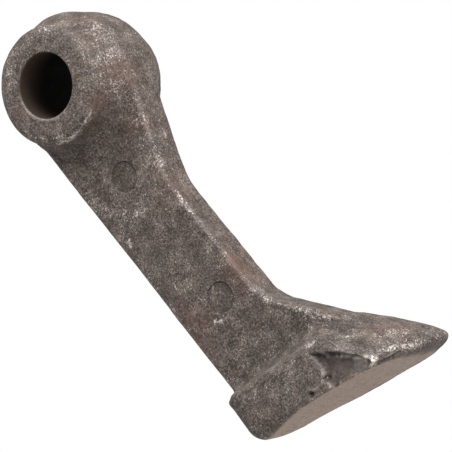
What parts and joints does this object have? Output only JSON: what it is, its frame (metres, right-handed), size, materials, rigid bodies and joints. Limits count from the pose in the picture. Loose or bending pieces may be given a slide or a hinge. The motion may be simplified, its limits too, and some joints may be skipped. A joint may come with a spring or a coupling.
{
  "type": "shredder hammer",
  "caption": "One-piece forged flail hammer: a round boss with a through bore, a flat shank and a fanned striking head with a ground sole",
  "frame": {"origin": "on the bore axis, midway between the two collar faces", "axes": "+Y along the bore, +X towards the cutting toe, +Z from the head up to the crown of the boss"},
  "size_m": [0.0751, 0.048, 0.2036],
  "materials": {
    "forged_steel": "dark grey-brown scale, pitted and speckled, with light rust and a bare ground sole"
  },
  "bodies": {
    "root": {"hammer": "forged_steel"}
  },
  "joints": []
}
